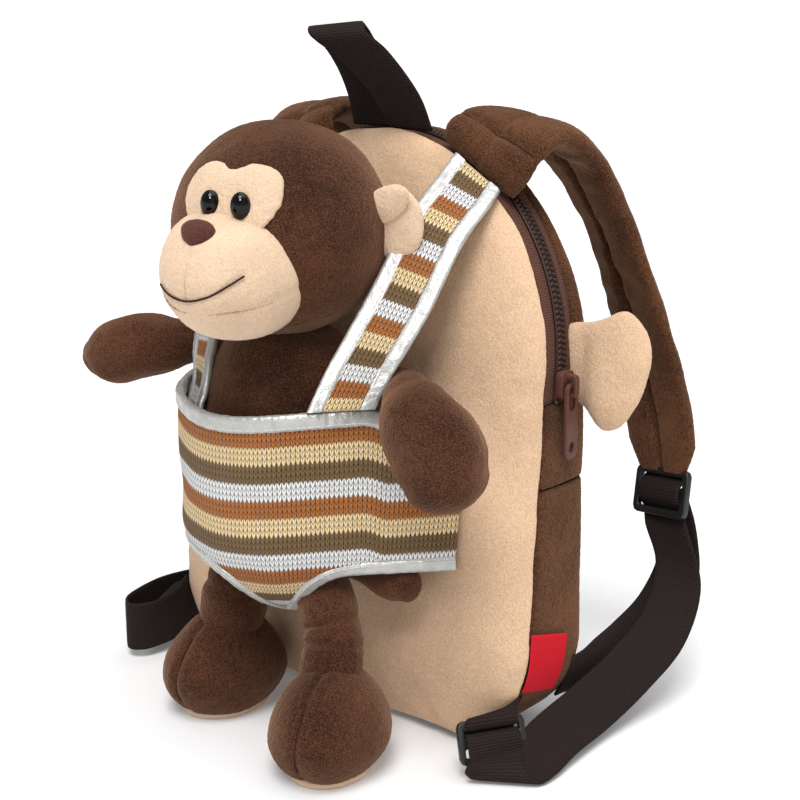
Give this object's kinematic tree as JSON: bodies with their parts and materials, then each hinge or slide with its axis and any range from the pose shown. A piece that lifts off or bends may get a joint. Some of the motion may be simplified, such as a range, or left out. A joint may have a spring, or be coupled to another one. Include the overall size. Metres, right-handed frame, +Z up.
{
  "type": "kids backpack",
  "caption": "Toddler's plush backpack with a soft monkey toy in a striped knitted harness on its front, with padded straps, a zip round the arch and a webbing grab loop.",
  "frame": {"origin": "on the floor, on the flat underside of the bag below its middle", "axes": "+Z up, -Y towards the front where the monkey sits, +X to the right of a viewer who faces the front"},
  "size_m": [0.274, 0.2292, 0.3137],
  "materials": {
    "cream_plush": "short plush pile",
    "brown_plush": "short plush pile",
    "toy_plush": "short plush pile",
    "face_plush": "short plush pile",
    "webbing": "ribbed polypropylene weave",
    "zip_tape": "woven tape",
    "zip_coil": "satin nylon coil",
    "zip_metal": "brown enamel",
    "black_plastic": "moulded",
    "red_tape": "woven tape",
    "silver_binding": "shiny bias binding",
    "striped_knit": "striped stocking-stitch knit",
    "eye_plastic": "glossy black"
  },
  "bodies": {
    "bag": {"front_panel": "cream_plush", "back_panel": "brown_plush", "gusset_bottom": "brown_plush", "gusset_side_right": "brown_plush", "gusset_side_left": "brown_plush", "gusset_upper": "brown_plush", "zip_tape_front": "zip_tape", "zip_tape_back": "zip_tape", "zip_coil": "zip_coil", "zip_slider": "zip_metal", "bag_ear_right": "cream_plush", "bag_ear_left": "cream_plush", "seam_label": "red_tape", "grab_loop": "webbing", "shoulder_strap_right": "brown_plush", "shoulder_strap_left": "brown_plush", "strap_slider_right": "black_plastic", "strap_slider_left": "black_plastic", "tri_glide_right": "black_plastic", "tri_glide_left": "black_plastic", "strap_webbing_right": "webbing", "strap_webbing_left": "webbing", "strap_anchor_right": "webbing", "strap_anchor_left": "webbing", "strap_tail_right": "webbing", "strap_tail_left": "webbing", "toy_head": "toy_plush", "toy_face": "face_plush", "toy_muzzle": "face_plush", "toy_nose": "brown_plush", "toy_eye_right": "eye_plastic", "toy_eye_left": "eye_plastic", "toy_ear_right": "face_plush", "toy_ear_left": "face_plush", "toy_body": "toy_plush", "toy_arm_right": "toy_plush", "toy_arm_left": "toy_plush", "toy_foot_right": "toy_plush", "toy_foot_left": "toy_plush", "toy_sole_right": "face_plush", "toy_sole_left": "face_plush", "toy_leg_right": "toy_plush", "toy_leg_left": "toy_plush", "toy_tail": "toy_plush", "pouch": "striped_knit", "pouch_rim": "silver_binding", "pouch_hem": "silver_binding", "suspender_right": "striped_knit", "suspender_left": "striped_knit", "suspender_outer_binding_right": "silver_binding", "suspender_outer_binding_left": "silver_binding", "suspender_inner_binding_right": "silver_binding", "suspender_inner_binding_left": "silver_binding"},
    "zip_pull": {"zip_pull": "zip_metal"}
  },
  "joints": [
    {"name": "zip_pull_swing", "type": "hinge", "parent": "bag", "child": "zip_pull", "pos_m": [0.10935, -0.00011, 0.163], "axis": [0, -1, 0], "range_deg": [0, 165]}
  ]
}
